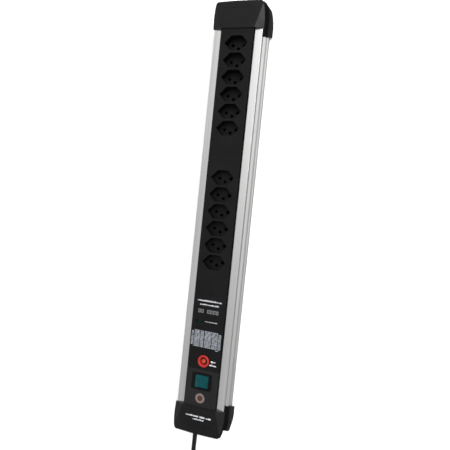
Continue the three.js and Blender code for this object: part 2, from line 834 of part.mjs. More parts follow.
// The end of the cord comes off the top of the coil and runs down to the plug beside it.
function makeCordTail() {
  const drop = tailZ - plug.z;
  const route = [
    [cord.x, coilY - 27.5, tailZ - 1.6],
    [cord.x, coilY - 33, tailZ - 0.26 * drop],
    [cord.x, coilY - 38, tailZ - 0.48 * drop],
    [cord.x, coilY - 44, plug.z + 0.27 * drop],
    [cord.x, coilY - 50, plug.z + 0.09 * drop],
    [cord.x, coilY - 56, plug.z + 0.01 * drop],
    [cord.x, plug.y + gap, plug.z],
  ];
  place('mains_cord_tail', tube(route, cord.r, 14, 8), blackRubber());
}

function hexagonAlongY(halfWidth, halfFlat, halfHigh, from, to) {
  const right = [[halfFlat, -halfHigh], [halfWidth, 0], [halfFlat, halfHigh]];
  const points = [...right, ...mirrored(right)];
  return alongY(outline(points.map(([x, z]) => [x + cord.x, z + plug.z])), from, to);
}

function makePlug() {
  const reliefEnd = plug.y - plug.relief;
  const bodyEnd = reliefEnd - plug.body;
  const taper = [[0, 0], [4.6, 0], [6.6, plug.relief + 0.5], [0, plug.relief + 0.5]];
  const body = join(
    solid(turnedAlongY(taper, cord.x, plug.y, plug.z, -1)),
    solid(hexagonAlongY(13, 8, 8, reliefEnd, reliefEnd - 8)),
    solid(hexagonAlongY(17.5, 8.5, 9.9, reliefEnd - 7.9, bodyEnd)),
  );
  place('plug_body', body, blackRubber());
  const pins = [[-socket.pinX, 1.6], [socket.pinX, 1.6], [0, -3.4]].map(([dx, dz]) => (
    rodAlongY(cord.x + dx, plug.z + dz, 2, bodyEnd - gap, bodyEnd - plug.pins, 12)));
  placeEach('plug_pin', pins, brass);
}

makeHousing();
makePanels();
makeEnds();
makeContacts();
makeRocker();
makeBreaker();
makeSurgeStage();
makeSeal();
makeCordEntry();
makeCord();
makeCordTail();
makePlug();

export default strip;
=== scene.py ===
import json
import math
import random
import bpy
from mathutils import Matrix, Vector


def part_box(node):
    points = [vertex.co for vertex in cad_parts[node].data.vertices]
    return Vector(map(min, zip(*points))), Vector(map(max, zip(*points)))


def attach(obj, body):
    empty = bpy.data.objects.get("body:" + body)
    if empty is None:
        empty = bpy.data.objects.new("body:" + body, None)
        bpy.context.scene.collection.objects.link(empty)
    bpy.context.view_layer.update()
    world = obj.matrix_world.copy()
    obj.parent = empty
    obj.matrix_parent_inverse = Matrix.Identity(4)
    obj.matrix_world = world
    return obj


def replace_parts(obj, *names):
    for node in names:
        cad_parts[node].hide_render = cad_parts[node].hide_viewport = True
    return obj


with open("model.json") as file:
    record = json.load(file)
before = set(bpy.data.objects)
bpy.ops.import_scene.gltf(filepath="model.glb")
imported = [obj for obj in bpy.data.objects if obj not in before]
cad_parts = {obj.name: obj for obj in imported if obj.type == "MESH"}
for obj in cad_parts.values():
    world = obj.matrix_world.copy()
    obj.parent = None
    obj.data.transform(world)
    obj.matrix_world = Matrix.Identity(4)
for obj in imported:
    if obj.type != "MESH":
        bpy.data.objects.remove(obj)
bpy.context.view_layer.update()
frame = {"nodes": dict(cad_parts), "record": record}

nodes = frame["nodes"]
scene = bpy.context.scene
METRES = 0.001  # in a millimetre
TO_MM = 1000.0  # from the frame's metres


def mm(*values):
    return tuple(v * METRES for v in values)


def middle(low, high):
    """The middle of a box that is given in metres."""
    return tuple((a + b) * TO_MM / 2 for a, b in zip(low, high))


def ramp(t):
    """0 to 1, easing in and out."""
    return t * t * (3 - 2 * t)


# ---------------------------------------------------------------- camera
SENSOR = 36.0  # the camera's own sensor width
FIELD = 47.37  # degrees across the square picture


def make_camera():
    stand = Vector((0.2867, -0.0044, 0.7773))
    target = Vector((0.0105, -0.0165, 0.045))
    upward = Vector((-0.0999, 0.9948, 0.0213))
    back = (stand - target).normalized()
    right = upward.cross(back).normalized()
    up = back.cross(right)
    data = bpy.data.cameras.new("camera")
    data.sensor_width = SENSOR
    data.lens = SENSOR / 2 / math.tan(math.radians(FIELD) / 2)
    data.clip_start = 0.01
    camera = bpy.data.objects.new("camera", data)
    facing = Matrix((right, up, back)).transposed().to_4x4()
    camera.matrix_world = Matrix.Translation(stand) @ facing
    scene.collection.objects.link(camera)
    scene.camera = camera


make_camera()

# ---------------------------------------------------------------- places
CAP_REACH = 45.5  # from the cord end's cap seam at the switch panel to the cap's outer end
CAP_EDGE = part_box("cord_end_cap")[0].y * TO_MM + CAP_REACH
PANEL_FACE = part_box("surge_panel")[1].z * TO_MM
CORD_X = -11.0
CORD_R = 3.5
CORD_Z = 27.0
FLOOR_GAP = 0.25  # under the cord where it lies on the floor

coil_low, coil_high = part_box("cord_coil")
COIL_X, COIL_Y, _ = middle(coil_low, coil_high)
COIL_OUTER = (coil_high.x - coil_low.x) * TO_MM / 2 - CORD_R
COIL_BASE = coil_low.z * TO_MM
COIL_TOP = coil_high.z * TO_MM
PLUG_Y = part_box("plug_body")[1].y * TO_MM
PLUG_Z = 10.0


# ---------------------------------------------------------------- finishes
class Finish:
    """A material's node tree, with short calls for the nodes used here."""

    def __init__(self, name):
        self.material = bpy.data.materials.new(name)
        self.material.use_nodes = True
        self.tree = self.material.node_tree
        self.shader = next(n for n in self.tree.nodes if n.type == "BSDF_PRINCIPLED")
        self.here = self.node("ShaderNodeTexCoord").outputs["Object"]

    def node(self, kind, inputs=(), **settings):
        made = self.tree.nodes.new(kind)
        for key, value in settings.items():
            setattr(made, key, value)
        for key, value in dict(inputs).items():
            self.put(made.inputs[key], value)
        return made

    def put(self, socket, value):
        if isinstance(value, bpy.types.NodeSocket):
            self.tree.links.new(value, socket)
        else:
            socket.default_value = value

    def stretched(self, *scale):
        made = self.node("ShaderNodeMapping", {"Vector": self.here, "Scale": scale})
        return made.outputs["Vector"]

    def noise(self, scale, detail=2.0, vector=None, rough=0.5):
        made = self.node(
            "ShaderNodeTexNoise",
            {"Vector": vector or self.here, "Scale": scale, "Detail": detail, "Roughness": rough},
        )
        return made.outputs["Fac"]

    def spread(self, value, low, high, start=0.3, end=0.7):
        made = self.node(
            "ShaderNodeMapRange",
            {"Value": value, "From Min": start, "From Max": end, "To Min": low, "To Max": high},
        )
        return made.outputs["Result"]

    def mix(self, share, first, second):
        made = self.node("ShaderNodeMix", data_type="RGBA")
        self.put(made.inputs[0], share)
        self.put(made.inputs[6], first)
        self.put(made.inputs[7], second)
        return made.outputs[2]

    def times(self, a, b, operation="MULTIPLY"):
        made = self.node("ShaderNodeMath", {0: a, 1: b}, operation=operation)
        return made.outputs["Value"]

    def bump(self, height, depth, normal=None):
        inputs = {"Height": height, "Distance": depth * METRES, "Strength": 1.0}
        if normal:
            inputs["Normal"] = normal
        return self.node("ShaderNodeBump", inputs).outputs["Normal"]

    def edges(self, radius):
        """1 along sharp edges, 0 on flat faces."""
        softened = self.node("ShaderNodeBevel", {"Radius": radius * METRES}, samples=4)
        dot = self.node(
            "ShaderNodeVectorMath",
            {0: softened.outputs["Normal"], 1: self.normal()},
            operation="DOT_PRODUCT",
        )
        return self.spread(dot.outputs["Value"], 1.0, 0.0, start=0.8, end=0.99)

    def sideways(self):
        """0 on faces turned up or down, 1 on upright faces turned across the strip."""
        across = self.part_of(self.normal(), "X")
        size = self.node("ShaderNodeMath", {0: across}, operation="ABSOLUTE")
        return self.spread(size.outputs["Value"], 0.0, 1.0, start=0.45, end=0.85)

    def normal(self):
        return self.node("ShaderNodeNewGeometry").outputs["Normal"]

    def part_of(self, vector, axis):
        return self.node("ShaderNodeSeparateXYZ", {0: vector}).outputs[axis]

    def finish(self, **inputs):
        for key, value in inputs.items():
            self.put(self.shader.inputs[key.replace("_", " ")], value)
        return self.material


def shade(colour, factor):
    return tuple(min(1.0, c * factor) for c in colour) + (1.0,)


# Dust grey, which on the cap's sides also paints the light on their lower half.
DUST_AND_LIGHT = (0.09, 0.088, 0.085, 1)
DUST_AND_LIGHT_FULL, DUST_AND_LIGHT_NONE = 0.018, 0.025  # metres over the floor


def moulded(name, colour, roughness, grain=1500.0, depth=0.012, wear_and_highlight=0.5, variation=0.25,
            sheen=(0.5, 0.5), dust=0.0, rubbed_and_highlit=2.6):
    """Injection moulding: spark-eroded grain, faint flow mottling, and handled edges. Those are
    rubbed that many times lighter; on the panel they are so much lighter that they paint
    highlights along the rims. The sheen is the specular level on its front and on its upright
    sides. Dust lies low on those sides, and on the cap it also paints the lighter lower half of
    its sides."""
    f = Finish(name)
    mottle = f.spread(f.noise(26.0, 4.0), 0.0, 1.0)
    base = f.mix(mottle, shade(colour, 1 - variation), shade(colour, 1 + variation))
    scuffs = f.spread(f.noise(210.0, 3.0, f.stretched(1.0, 0.35, 1.0)), 0.0, 1.0, 0.62, 0.78)
    base = f.mix(f.times(scuffs, 0.25), base, shade(colour, 2.2))
    # Lighter edges: wear, and on the panel also painted highlights along the rims.
    worn_and_highlit = f.times(f.edges(0.7), f.spread(f.noise(90.0), wear_and_highlight * 0.3, wear_and_highlight))
    base = f.mix(worn_and_highlit, base, shade(colour, rubbed_and_highlit))
    # Dust grey low on the upright sides; on the cap it also stands in as painted light on the
    # lower half of the sides.
    if dust:
        low = f.spread(f.part_of(f.here, "Z"), 1.0, 0.0, start=DUST_AND_LIGHT_FULL, end=DUST_AND_LIGHT_NONE)
        patchy = f.spread(f.noise(45.0, 3.0), dust * 0.7, dust)
        base = f.mix(f.times(f.times(low, f.sideways()), patchy), base, DUST_AND_LIGHT)
    rough = f.spread(f.noise(60.0, 4.0), roughness - 0.07, roughness + 0.07)
    fine = f.bump(f.noise(grain, 2.0), depth)
    broad = f.bump(f.noise(14.0, 1.0), 0.15, fine)
    gloss = f.spread(f.sideways(), *sheen, start=0.0, end=1.0)
    return f.finish(Base_Color=base, Roughness=rough, Normal=broad, Specular_IOR_Level=gloss)


SATIN_DARK = (0.51, 0.515, 0.51, 1)
SATIN_LIGHT = (0.60, 0.605, 0.60, 1)
SATIN_SPECK = (0.40, 0.40, 0.395, 1)
SATIN_EDGE = (0.75, 0.755, 0.75, 1)
# Painted shade for upright sides where they turn down.
SATIN_PAINTED_SHADE = (0.12, 0.12, 0.12, 1)
NO_LIGHT = (0.0, 0.0, 0.0, 1)
HALF_LENGTH = 0.3  # metres, about half the strip


def anodised():
    """Satin anodised extrusion: fine lengthwise die lines, brighter along its edges. Its upright
    sides carry painted shade: darker towards the cord's end, and darker still where they turn
    down."""
    f = Finish("anodised")
    lines = f.noise(1.0, 3.0, f.stretched(1400.0, 5.0, 1400.0), 0.6)
    broad = f.noise(1.0, 2.0, f.stretched(160.0, 3.0, 160.0))
    tone = f.times(f.spread(lines, 0.0, 0.7), f.spread(broad, 0.0, 0.3), "ADD")
    base = f.mix(tone, SATIN_DARK, SATIN_LIGHT)
    specks = f.spread(f.noise(420.0, 3.0), 0.0, 0.25, 0.7, 0.8)
    base = f.mix(specks, base, SATIN_SPECK)
    base = f.mix(f.times(f.edges(0.4), 0.4), base, SATIN_EDGE)
    # Painted shade on the upright sides: much darker where they turn down, and darker towards the
    # cord's end.
    turned_down_shade = f.spread(f.part_of(f.normal(), "Z"), 1.0, 0.0, start=-0.1, end=0.09)
    shade_towards_cord_end = f.spread(f.part_of(f.here, "Y"), 0.48, 1.0, start=-HALF_LENGTH, end=HALF_LENGTH)
    shaded_base = f.mix(turned_down_shade, base, SATIN_PAINTED_SHADE)
    shaded_base = f.mix(shade_towards_cord_end, NO_LIGHT, shaded_base)
    base = f.mix(f.sideways(), base, shaded_base)
    rough = f.times(f.spread(lines, 0.17, 0.25), f.spread(broad, -0.02, 0.02), "ADD")
    fine = f.bump(lines, 0.004)
    return f.finish(Base_Color=base, Metallic=1.0, Roughness=rough,
                    Specular_Tint=(0.72, 0.72, 0.72, 1.0),
                    Normal=f.bump(f.noise(900.0), 0.004, fine))


def metal(name, colour, roughness, grain=(900.0, 60.0, 900.0), depth=0.006, blotch=0.12):
    """Plated or stamped metal with a directional grain and uneven dulling."""
    f = Finish(name)
    lines = f.noise(1.0, 3.0, f.stretched(*grain))
    cloud = f.spread(f.noise(130.0, 4.0), 0.0, 1.0)
    base = f.mix(cloud, shade(colour, 1 - blotch), shade(colour, 1 + blotch))
    base = f.mix(f.times(f.edges(0.3), 0.5), base, shade(colour, 1.35))
    streaks = f.spread(lines, roughness - 0.05, roughness + 0.05)
    rough = f.times(streaks, f.spread(cloud, -0.04, 0.06), "ADD")
    return f.finish(Base_Color=base, Metallic=1.0, Roughness=rough, Normal=f.bump(lines, depth))


def rubber(name, colour, roughness):
    """Rubber or soft PVC: smooth, with faint drag marks along Y and dusty blotches."""
    f = Finish(name)
    dust = f.spread(f.noise(80.0, 5.0), 0.0, 0.35, 0.5, 0.75)
    base = f.mix(dust, shade(colour, 0.85), shade(colour, 2.0))
    drag = f.noise(1.0, 2.0, f.stretched(900.0, 90.0, 900.0))
    rough = f.spread(f.noise(150.0, 3.0), roughness - 0.08, roughness + 0.1)
    return f.finish(Base_Color=base, Roughness=rough, Normal=f.bump(drag, 0.02),
                    Specular_IOR_Level=0.12)


def woven(name, colour):
    """Tie tape: fine crossed yarns."""
    f = Finish(name)
    yarn = {"Vector": f.here, "Scale": 420.0, "Distortion": 0.6}
    across = f.node("ShaderNodeTexWave", yarn, bands_direction="Y").outputs["Fac"]
    along = f.node("ShaderNodeTexWave", yarn, bands_direction="DIAGONAL").outputs["Fac"]
    weave = f.times(across, along)
    base = f.mix(weave, shade(colour, 0.6), shade(colour, 2.4))
    return f.finish(Base_Color=base, Roughness=0.9, Normal=f.bump(weave, 0.12))


def printed(name, colour, gaps=0.12):
    """Pad-printed ink, slightly uneven."""
    f = Finish(name)
    cover = f.spread(f.noise(900.0, 3.0), 0.0, gaps, 0.5, 0.75)
    base = f.mix(cover, shade(colour, 1.0), shade(colour, 0.45))
    return f.finish(Base_Color=base, Roughness=f.spread(f.noise(500.0), 0.45, 0.65),
                    Normal=f.bump(f.noise(1800.0), 0.004), Specular_IOR_Level=0.15)


def glowing(name, colour, light, strength, roughness, gloss=0.1):
    """A translucent moulding with a lamp behind it, unevenly lit through."""
    f = Finish(name)
    cloud = f.spread(f.noise(120.0, 3.0), 0.0, 1.0)
    base = f.mix(cloud, shade(colour, 0.85), shade(colour, 1.15))
    rough = f.spread(f.noise(90.0, 3.0), roughness - 0.05, roughness + 0.06)
    return f.finish(Base_Color=base, Roughness=rough, Normal=f.bump(f.noise(1100.0), 0.003),
                    Emission_Color=light + (1.0,), Emission_Strength=f.times(cloud, strength),
                    Subsurface_Weight=0.15, Subsurface_Scale=0.002, Specular_IOR_Level=gloss)


ink = {
    "white": printed("white_ink", (0.52, 0.53, 0.55)),
    "grey": printed("grey_ink", (0.16, 0.165, 0.17)),
    "table": printed("table_ink", (0.35, 0.37, 0.41), 0.3),
    "red": printed("seal_red_ink", (0.055, 0.019, 0.014), 0.3),
    "dark": printed("rocker_mark_ink", (0.003, 0.008, 0.012)),
}
finishes = {
    "anodised_aluminium": anodised(),
    # Its edges are made five times lighter: painted highlights along the sockets' rims.
    "black_moulding": moulded("panel_moulding", (0.0031, 0.0031, 0.0035), 0.5, wear_and_highlight=0.8,
                              sheen=(0.09, 0.0), rubbed_and_highlit=5.0),
    "cap_moulding": moulded("cap_moulding_finish", (0.0038, 0.0038, 0.004), 0.34, depth=0.02,
                            sheen=(0.13, 0.0), dust=0.15),
    "black_gloss": moulded("bezel_moulding", (0.0022, 0.0022, 0.0025), 0.3, depth=0.004,
                           sheen=(0.08, 0.05)),
    "rocker_teal": glowing("rocker_moulding", (0.001, 0.031, 0.034), (0.0, 0.35, 0.36), 0.022,
                           0.35),
    "breaker_red": moulded("collar_moulding", (0.25, 0.014, 0.012), 0.36, depth=0.004,
                           variation=0.12, sheen=(0.2, 0.2)),
    "breaker_orange": moulded("button_moulding", (0.24, 0.03, 0.012), 0.5, variation=0.12,
                              sheen=(0.15, 0.15)),
    "lens_green": glowing("lens_moulding", (0.001, 0.005, 0.004), (0.0, 0.3, 0.12), 0.003,
                          0.25, gloss=0.08),
    "seal_foil": moulded("seal_foil_finish", (0.12, 0.102, 0.094), 0.5, grain=700.0, depth=0.01,
                         variation=0.2, sheen=(0.2, 0.2)),
    "white_moulding": moulded("white_moulding_finish", (0.58, 0.56, 0.5), 0.55, variation=0.08,
                              wear_and_highlight=0.2),
    "zinc_steel": metal("zinc_plate", (0.56, 0.57, 0.58), 0.34),
    "brass_contacts": metal("stamped_brass", (0.62, 0.46, 0.2), 0.3),
    "nickel_pins": metal("nickel_plate", (0.66, 0.64, 0.6), 0.2),
    "cord_jacket": rubber("cord_jacket_finish", (0.0036, 0.0036, 0.0038), 0.5),
    "black_rubber": rubber("rubber_moulding", (0.008, 0.008, 0.0086), 0.55),
    "tie_fabric": woven("tie_weave", (0.02, 0.02, 0.022)),
    "circuit_board": moulded("solder_mask", (0.02, 0.1, 0.035), 0.4, grain=500.0),
    "component_blue": moulded("dipped_lacquer", (0.02, 0.06, 0.24), 0.3, depth=0.004),
    "component_yellow": moulded("film_capacitor_box", (0.55, 0.4, 0.04), 0.5),
    "lead_brown": moulded("brown_insulation", (0.13, 0.05, 0.02), 0.5, wear_and_highlight=0.1),
    "lead_blue": moulded("blue_insulation", (0.02, 0.08, 0.34), 0.5, wear_and_highlight=0.1),
    "lead_green": moulded("green_insulation", (0.16, 0.3, 0.04), 0.5, wear_and_highlight=0.1),
}
# Flat black without gloss: the shutters also stand in for the shade down the outlets' holes.
shutter_shade_finish = moulded("shutter_painted_shade", (0.0004, 0.0004, 0.0004), 0.8, wear_and_highlight=0.0,
                         sheen=(0.0, 0.0))
own_finish = {  # of frame nodes that differ from the rest of their slot
    "switch_panel": moulded("switch_panel_moulding", (0.008, 0.008, 0.0084), 0.5,
                            sheen=(0.1, 0.0)),
}
slot_of = {row["node"]: row["material_slot"] for row in frame["record"]["subparts"]}

# ---------------------------------------------------------------- the frame's own solids
EDGE_WIDTH = {  # edge rounding, where it isn't the usual one
    "far_end_cap": 0.9,
    "cord_end_cap": 0.9,
    "socket_block_upper": 0.45,
    "socket_block_lower": 0.45,
    "rocker_bezel": 0.6,
    "rocker_button": 0.6,
    "far_mounting_tab": 0.25,
    "cord_mounting_tab": 0.25,
    "inspection_seal": 0.1,
}
USUAL_EDGE = 0.2
SHARP_ANGLE = math.radians(28.0)
WELD_GAP = 1e-6  # metres


def refine(name):
    """Joins the frame's loose triangles, and rounds the sharp edges."""
    node = nodes[name]
    weld = node.modifiers.new("join", "WELD")
    weld.merge_threshold = WELD_GAP
    bevel = node.modifiers.new("round", "BEVEL")
    bevel.width = EDGE_WIDTH.get(name, USUAL_EDGE) * METRES
    bevel.segments = 3
    bevel.limit_method = "ANGLE"
    bevel.angle_limit = SHARP_ANGLE
    bevel.use_clamp_overlap = True
    bevel.harden_normals = True
    bevel.miter_outer = "MITER_ARC"


for name, node in nodes.items():
    refine(name)
    for place in node.material_slots:
        place.link = "OBJECT"
        place.material = own_finish.get(name, finishes[slot_of[name]])


# ---------------------------------------------------------------- building pieces
def piece(name, points, faces, slot, body="root", finish=None, sharp=35.0):
    """A mesh that rides on a body; edges turning more than sharp degrees stay crisp."""
    mesh = bpy.data.meshes.new(name)
    mesh.from_pydata([mm(*p) for p in points], [], faces)
    mesh.materials.append(finish or finishes[slot])
    mesh.polygons.foreach_set("use_smooth", [True] * len(mesh.polygons))
    mesh.set_sharp_from_angle(angle=math.radians(sharp))
    mesh.update()
    made = bpy.data.objects.new(name, mesh)
    scene.collection.objects.link(made)
    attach(made, body)
    return made


def lofted(sections):
    """Points and faces of a closed skin through sections of equal count, capped at both ends."""
    count = len(sections[0])
    points = [p for section in sections for p in section]
    faces = []
    for s in range(len(sections) - 1):
        for i in range(count):
            a = s * count + i
            b = s * count + (i + 1) % count
            faces.append((a, b, b + count, a + count))
    faces.append(tuple(reversed(range(count))))
    faces.append(tuple(range(len(points) - count, len(points))))
    return points, faces


def turned(profile, centre, axis="Z", sides=64):
    """A solid of revolution about a line along Z or -Y, from a closed loop of (radius, height)."""
    cx, cy, cz = centre
    points = []
    for i in range(sides):
        turn = 2 * math.pi * i / sides
        for radius, height in profile:
            a = radius * math.cos(turn)
            b = radius * math.sin(turn)
            if axis == "Z":
                points.append((cx + a, cy + b, cz + height))
            else:
                points.append((cx + a, cy - height, cz + b))
    count = len(profile)
    faces = []
    for i in range(sides):
        for j in range(count):
            a = i * count + j
            b = i * count + (j + 1) % count
            c = ((i + 1) % sides) * count
            faces.append((a, c + j, c + (j + 1) % count, b))
    return points, faces


def prisms(pairs):
    """Points and faces of upright prisms, each from a lower and an upper loop of points."""
    points, faces = [], []
    for low, high in pairs:
        first, sides = len(points), len(low)
        points += low + high
        for i in range(sides):
            a, b = first + i, first + (i + 1) % sides
            faces.append((a, b, b + sides, a + sides))
        faces.append(tuple(first + i for i in reversed(range(sides))))
        faces.append(tuple(first + sides + i for i in range(sides)))
    return points, faces


def rounded_loop(corners, radius, steps):
    """A closed outline through these corners, each of them rounded by an arc-like curve."""
    loop = []
    for i, corner in enumerate(corners):
        here = Vector(corner)
        start = here + (Vector(corners[i - 1]) - here).normalized() * radius
        end = here + (Vector(corners[(i + 1) % len(corners)]) - here).normalized() * radius
        for k in range(steps + 1):
            t = k / steps
            loop.append(tuple(start * (1 - t) ** 2 + here * 2 * t * (1 - t) + end * t * t))
    return loop


# ---------------------------------------------------------------- mains cord
LEAD_STRAIGHT = (15.2, 20.0, 30.0, 45.0, 60.0, 68.0)  # all from the cap's seam, outwards
DROP_START, DROP_END = 73.0, 125.0


def two_arcs(t):
    """0 to 1 in an S made of two equal arcs."""
    return 2 * t * t if t < 0.5 else 1 - 2 * (1 - t) ** 2


def swoop(y0, z0, y1, z1, steps=10):
    """An S from one height to another while the cord runs along Y."""
    turns = [i / steps for i in range(steps + 1)]
    return [(CORD_X, y0 + (y1 - y0) * t, z0 + (z1 - z0) * two_arcs(t)) for t in turns]


def lead_route():
    """From the clamp inside the cap straight out, then down to the floor in an S."""
    straight = [(CORD_X, CAP_EDGE - offset, CORD_Z) for offset in LEAD_STRAIGHT]
    floor = CORD_R + FLOOR_GAP
    return straight + swoop(CAP_EDGE - DROP_START, CORD_Z, CAP_EDGE - DROP_END, floor)


def coil_route():
    """Four layers of three turns, wound in and out. Each layer steps sideways in one sector
    of the circle and climbs in the sector before it, so that no turn runs into another. The
    first quarter turn rises from the floor. Angles are in degrees."""
    pitch = 2 * CORD_R
    columns, layers, sector = 3, 4, 60
    entry, rise, knot_step = 180, 90, 15
    steps = []
    angle, inward = entry, -1
    for layer in range(layers):
        shift = (120 - 120 * layer) % 360
        for _ in range(columns - 1):
            angle += (shift - angle) % 360
            steps.append((angle, inward * pitch, 0.0))
            angle += sector
        if layer < layers - 1:
            angle += (shift - sector - angle) % 360
            steps.append((angle, 0.0, pitch))
            angle += sector
        inward = -inward
    last = angle + 360
    route = []
    for turn in range(entry, last + 1, knot_step):
        radius, height = COIL_OUTER, COIL_BASE + CORD_R
        for start, sideways, climb in steps:
            share = ramp(min(max((turn - start) / sector, 0.0), 1.0))
            radius += sideways * share
            height += climb * share
        height -= (1 - ramp(min((turn - entry) / rise, 1.0))) * (COIL_BASE - FLOOR_GAP)
        around = math.radians(turn)
        x = COIL_X + radius * math.cos(around)
        y = COIL_Y + radius * math.sin(around)
        route.append((x, y, height))
    return route


def tail_route():
    """Off the top of the coil and down into the plug."""
    inside_plug = (CORD_X, PLUG_Y - 4.0, PLUG_Z)
    return swoop(COIL_Y - 10.0, COIL_TOP - CORD_R, PLUG_Y + 1.0, PLUG_Z) + [inside_plug]


def make_cord():
    route = lead_route() + coil_route() + tail_route()
    curve = bpy.data.curves.new("mains_lead", "CURVE")
    curve.dimensions = "3D"
    curve.resolution_u = 4
    curve.bevel_depth = CORD_R * METRES
    curve.bevel_resolution = 5
    curve.use_fill_caps = True
    spline = curve.splines.new("BEZIER")
    spline.bezier_points.add(len(route) - 1)
    for knot, place in zip(spline.bezier_points, route):
        knot.co = mm(*place)
        knot.handle_left_type = knot.handle_right_type = "AUTO"
    curve.materials.append(finishes["cord_jacket"])
    lead = bpy.data.objects.new("mains_lead", curve)
    scene.collection.objects.link(lead)
    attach(lead, "root")
    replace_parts(lead, "mains_cord", "cord_coil", "mains_cord_tail")
    return lead


def make_strain_relief():
    """A flanged rubber sleeve, ringed so that it bends, where the cord leaves the cap."""
    bore = CORD_R + 0.1
    length = 24.0
    profile = [(bore, 0.0), (7.0, 0.0), (7.4, 0.4), (7.4, 3.0), (7.1, 3.4), (6.0, 3.6)]
    rings, ring_pitch, first_ring = 6, 3.0, 5.4
    body, taper, groove = 6.0, 1.4, 0.9
    for i in range(rings):
        foot = first_ring + i * ring_pitch
        outer = body - taper * (i + 0.5) / rings
        inner = outer - groove
        profile += [(outer, foot), (outer, foot + 1.5), (inner, foot + 1.8), (inner, foot + 2.7)]
    profile += [(4.5, length - 0.3), (4.3, length), (bore, length)]
    flange_back = (CORD_X, CAP_EDGE - 24.5, CORD_Z)
    points, faces = turned(profile, flange_back, axis="Y", sides=40)
    relief = piece("cord_sleeve", points, faces, "black_rubber")
    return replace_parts(relief, "strain_relief")


def six_sided(half_width, half_flat, half_high):
    """The outline of a type 12 nose, or of a smaller one."""
    return [(half_width, 0), (half_flat, half_high), (-half_flat, half_high),
            (-half_width, 0), (-half_flat, -half_high), (half_flat, -half_high)]


def make_plug():
    """Straight plug: ringed sleeve, a waisted grip and a six-sided nose. Each section is given
    by its distance from the cord's end of the plug."""
    steps = 6
    turns = [math.atan2(z, x) for x, z in rounded_loop(six_sided(17.5, 8.5, 9.9), 3, steps)]

    def hexagon(y, half_width, half_flat, half_high, radius):
        loop = rounded_loop(six_sided(half_width, half_flat, half_high), radius, steps)
        return [(CORD_X + x, PLUG_Y - y, PLUG_Z + z) for x, z in loop]

    def circle(y, radius):
        return [(CORD_X + radius * math.cos(a), PLUG_Y - y, PLUG_Z + radius * math.sin(a))
                for a in turns]

    sections = [circle(0.0, 4.1), circle(0.3, 4.5)]
    for i in range(5):
        foot = 1.5 + 4.2 * i
        radius = 4.6 + 0.36 * i
        sections += [
            circle(foot, radius),
            circle(foot + 0.3, radius - 0.8),
            circle(foot + 1.3, radius - 0.8),
            circle(foot + 1.6, radius + 0.1),
            circle(foot + 4.0, radius + 0.3),
        ]
    sections += [
        circle(23.0, 6.9),
        hexagon(24.6, 11.0, 6.6, 7.2, 3.4),
        hexagon(26.5, 13.4, 7.6, 8.2, 3.2),
        hexagon(30.0, 15.0, 8.0, 8.8, 3.0),
        hexagon(34.0, 15.4, 8.0, 8.8, 3.0),
    ]
    for i in range(4):
        foot = 35.0 + 3.4 * i
        sections += [
            hexagon(foot, 15.3, 8.0, 8.8, 3.0),
            hexagon(foot + 0.5, 14.5, 7.5, 8.2, 3.0),
            hexagon(foot + 1.4, 14.5, 7.5, 8.2, 3.0),
            hexagon(foot + 1.9, 15.4, 8.0, 8.9, 3.0),
        ]
    sections += [
        hexagon(50.0, 16.0, 8.2, 9.2, 2.8),
        hexagon(53.0, 17.2, 8.5, 9.8, 2.4),
        hexagon(54.0, 17.5, 8.5, 9.9, 2.2),
        hexagon(59.4, 17.5, 8.5, 9.9, 2.2),
        hexagon(60.0, 16.9, 8.2, 9.4, 2.2),
    ]
    points, faces = lofted(sections)
    body = piece("plug_moulding", points, faces, "black_rubber", sharp=40.0)
    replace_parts(body, "plug_body")
    pins = []
    for i in range(3):
        low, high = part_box(f"plug_pin_{i + 1}")
        x, _, z = middle(low, high)
        reach = (high.y - low.y) * TO_MM
        profile = [(0.0, 0.0), (2.0, 0.0), (2.0, reach - 1.2), (1.8, reach - 0.5),
                   (1.3, reach - 0.1), (0.0, reach)]
        points, faces = turned(profile, (x, high.y * TO_MM, z), axis="Y", sides=32)
        pin = piece(f"turned_pin_{i + 1}", points, faces, "nickel_pins")
        pins.append(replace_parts(pin, f"plug_pin_{i + 1}"))
    return [body] + pins


def make_tie():
    """Hook tape in a closed band round the coil's turns."""
    low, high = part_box("cord_tie")
    inset_x, inset_z, half_thick = 0.5, 0.45, 0.4
    x0, x1 = low.x * TO_MM + inset_x, high.x * TO_MM - inset_x
    z0, z1 = low.z * TO_MM + inset_z, high.z * TO_MM - inset_z
    half = (high.y - low.y) * TO_MM / 2
    y = middle(low, high)[1]
    loop = rounded_loop([(x0, z0), (x1, z0), (x1, z1), (x0, z1)], 4.0, 6)
    centre = Vector(((x0 + x1) / 2, (z0 + z1) / 2))
    sections = []
    for x, z in loop:
        outward = (Vector((x, z)) - centre).normalized() * half_thick
        sections.append([
            (x - outward.x, y - half, z - outward.y), (x + outward.x, y - half, z + outward.y),
            (x + outward.x, y + half, z + outward.y), (x - outward.x, y + half, z - outward.y),
        ])
    points = [p for section in sections for p in section]
    faces = []
    count = len(sections)
    for i in range(count):
        for j in range(4):
            a, b = i * 4 + j, i * 4 + (j + 1) % 4
            c = ((i + 1) % count) * 4
            faces.append((a, b, c + (j + 1) % 4, c + j))
    tie = piece("tie_tape", points, faces, "tie_fabric", sharp=50.0)
    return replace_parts(tie, "cord_tie")


lead = make_cord()
sleeve = make_strain_relief()
plug_pieces = make_plug()
tie = make_tie()


# ---------------------------------------------------------------- printed marks
INK_SUNK = 0.02
INK_RISE = 0.035
CLIPPED = 0.25  # of a bar's shorter side, at each corner


